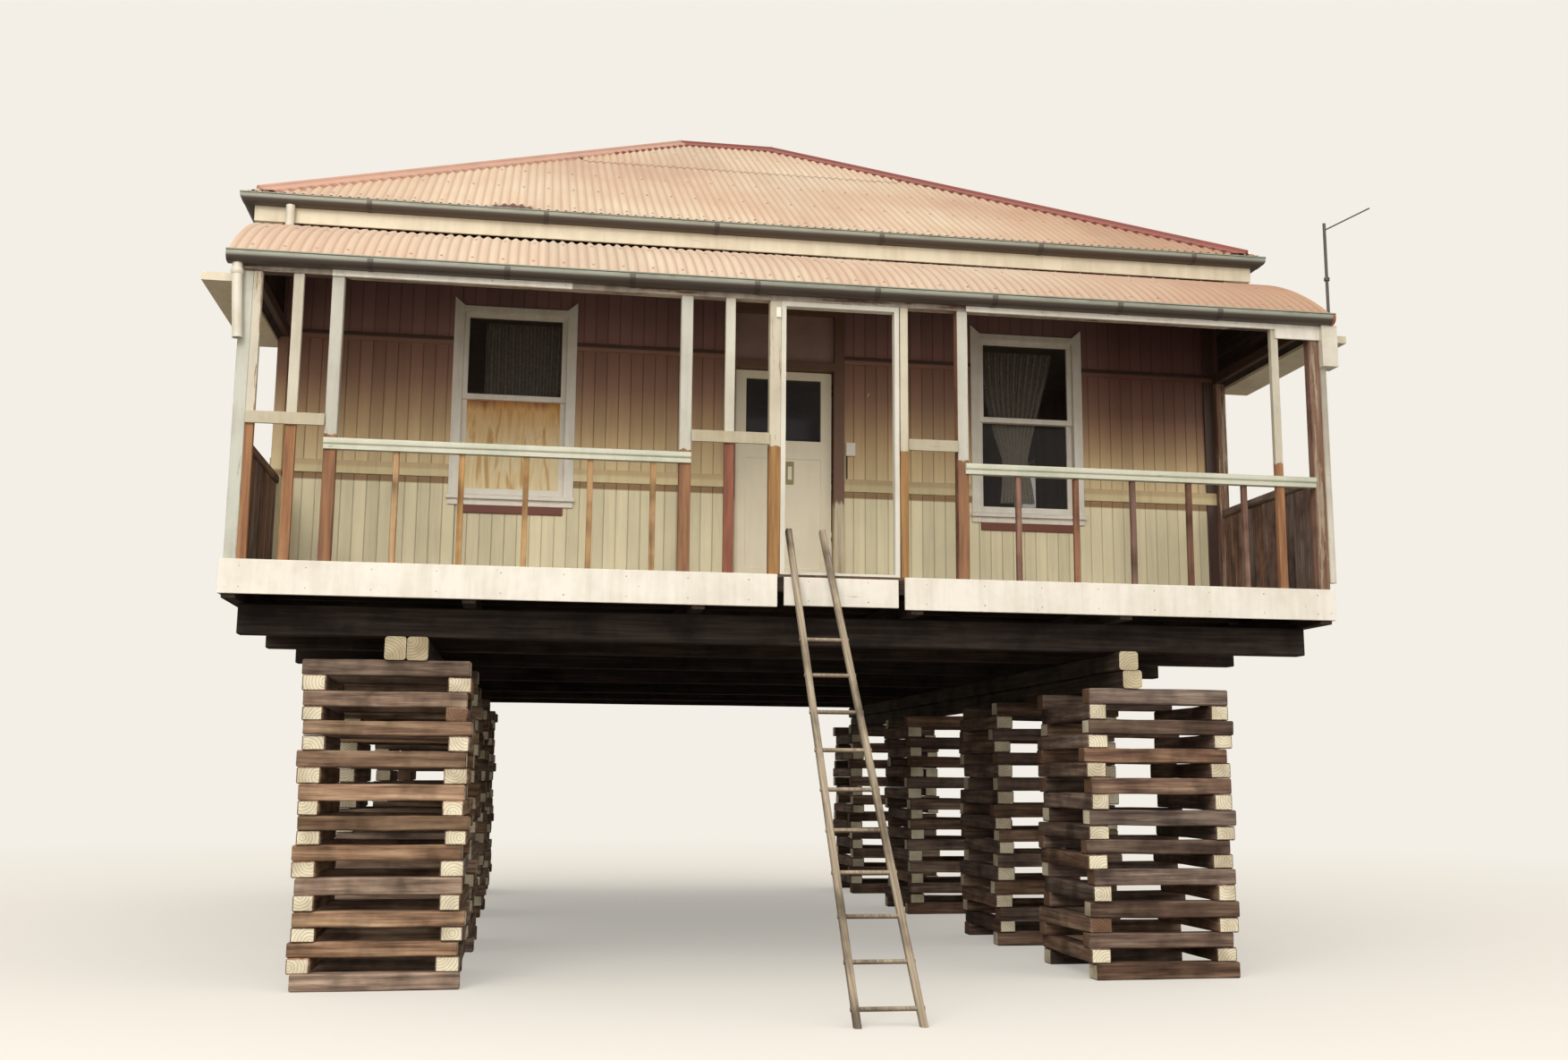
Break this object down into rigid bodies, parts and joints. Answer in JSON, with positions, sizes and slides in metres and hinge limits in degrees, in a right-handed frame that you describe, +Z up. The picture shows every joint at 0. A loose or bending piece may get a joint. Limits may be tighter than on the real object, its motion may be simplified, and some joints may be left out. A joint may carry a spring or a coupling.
{
  "type": "timber cottage on crib stacks",
  "caption": "Small timber cottage with a hip roof and stripped-back verandahs, raised on stacks of crossed timbers, with a ladder to its front.",
  "frame": {"origin": "middle of the base of the whole, on the ground", "axes": "+X to the right along the verandah front, +Y from the front to the back, +Z up"},
  "size_m": [9.4846, 13.0252, 8.8512],
  "materials": {
    "roof_iron": "faded corrugated iron",
    "capping_iron": "faded red capping",
    "gutter_metal": "worn grey-green paint",
    "cream_paint": "cream painted boards",
    "white_paint": "white painted timber",
    "wall_boards": "cream painted vertical boards, stained",
    "dark_timber": "old dark hardwood",
    "white_pipe": "white downpipe",
    "window_glass": "dark window glass",
    "raw_plywood": "streaky bare plywood",
    "brown_timber": "brown stained timber",
    "hinge_iron": "dull iron",
    "dark_panel": "dark panel",
    "door_paint": "cream painted door",
    "door_glass": "dark door glass",
    "door_metal": "dulled brass",
    "floor_timber": "worn floor boards",
    "beam_timber": "weathered squared beams",
    "worn_paint": "pale grey paint, worn to bare wood",
    "bare_timber": "bare red-brown timber",
    "rail_paint": "pale green-white paint",
    "ladder_timber": "weathered tan timber",
    "mast_metal": "dull dark metal",
    "crib_timber": "rough grey-brown hardwood"
  },
  "bodies": {
    "house": {"main_roof": "roof_iron", "roof_capping": "capping_iron", "main_gutter": "gutter_metal", "eave_boards": "cream_paint", "verandah_roofs": "roof_iron", "verandah_rafters": "dark_timber", "verandah_gutters": "gutter_metal", "downpipes": "white_pipe", "front_walls": "wall_boards", "front_wall_over_door": "wall_boards", "side_walls": "wall_boards", "rear_wall": "wall_boards", "ceiling": "cream_paint", "wall_belts": "wall_boards", "window_frames": "white_paint", "window_sashes": "white_paint", "window_glass": "window_glass", "boarded_sash": "raw_plywood", "door_frame": "brown_timber", "door_hinges": "hinge_iron", "fanlight_panel": "dark_panel", "house_floor": "floor_timber", "verandah_floors": "floor_timber", "floor_joists": "dark_timber", "floor_bearers": "dark_timber", "cross_timbers": "dark_timber", "lifting_beams": "beam_timber", "edge_boards": "white_paint", "verandah_posts": "worn_paint", "verandah_studs": "bare_timber", "verandah_plates": "worn_paint", "plate_boards": "white_paint", "handrails": "rail_paint", "balusters": "bare_timber", "empty_door_frame": "white_paint", "end_balustrades": "bare_timber", "end_boards": "cream_paint", "end_hoods": "cream_paint", "ladder": "ladder_timber", "aerial_mast": "mast_metal", "crib_lengthwise": "crib_timber", "crib_crosswise": "crib_timber"},
    "front_door": {"door_leaf": "door_paint", "door_glass": "door_glass", "door_furniture": "door_metal"}
  },
  "joints": [
    {"name": "front_door_hinge", "type": "hinge", "parent": "house", "child": "front_door", "pos_m": [0.41018, -2.81342, 4.05], "axis": [0, 0, -1], "range_deg": [0, 100]}
  ]
}
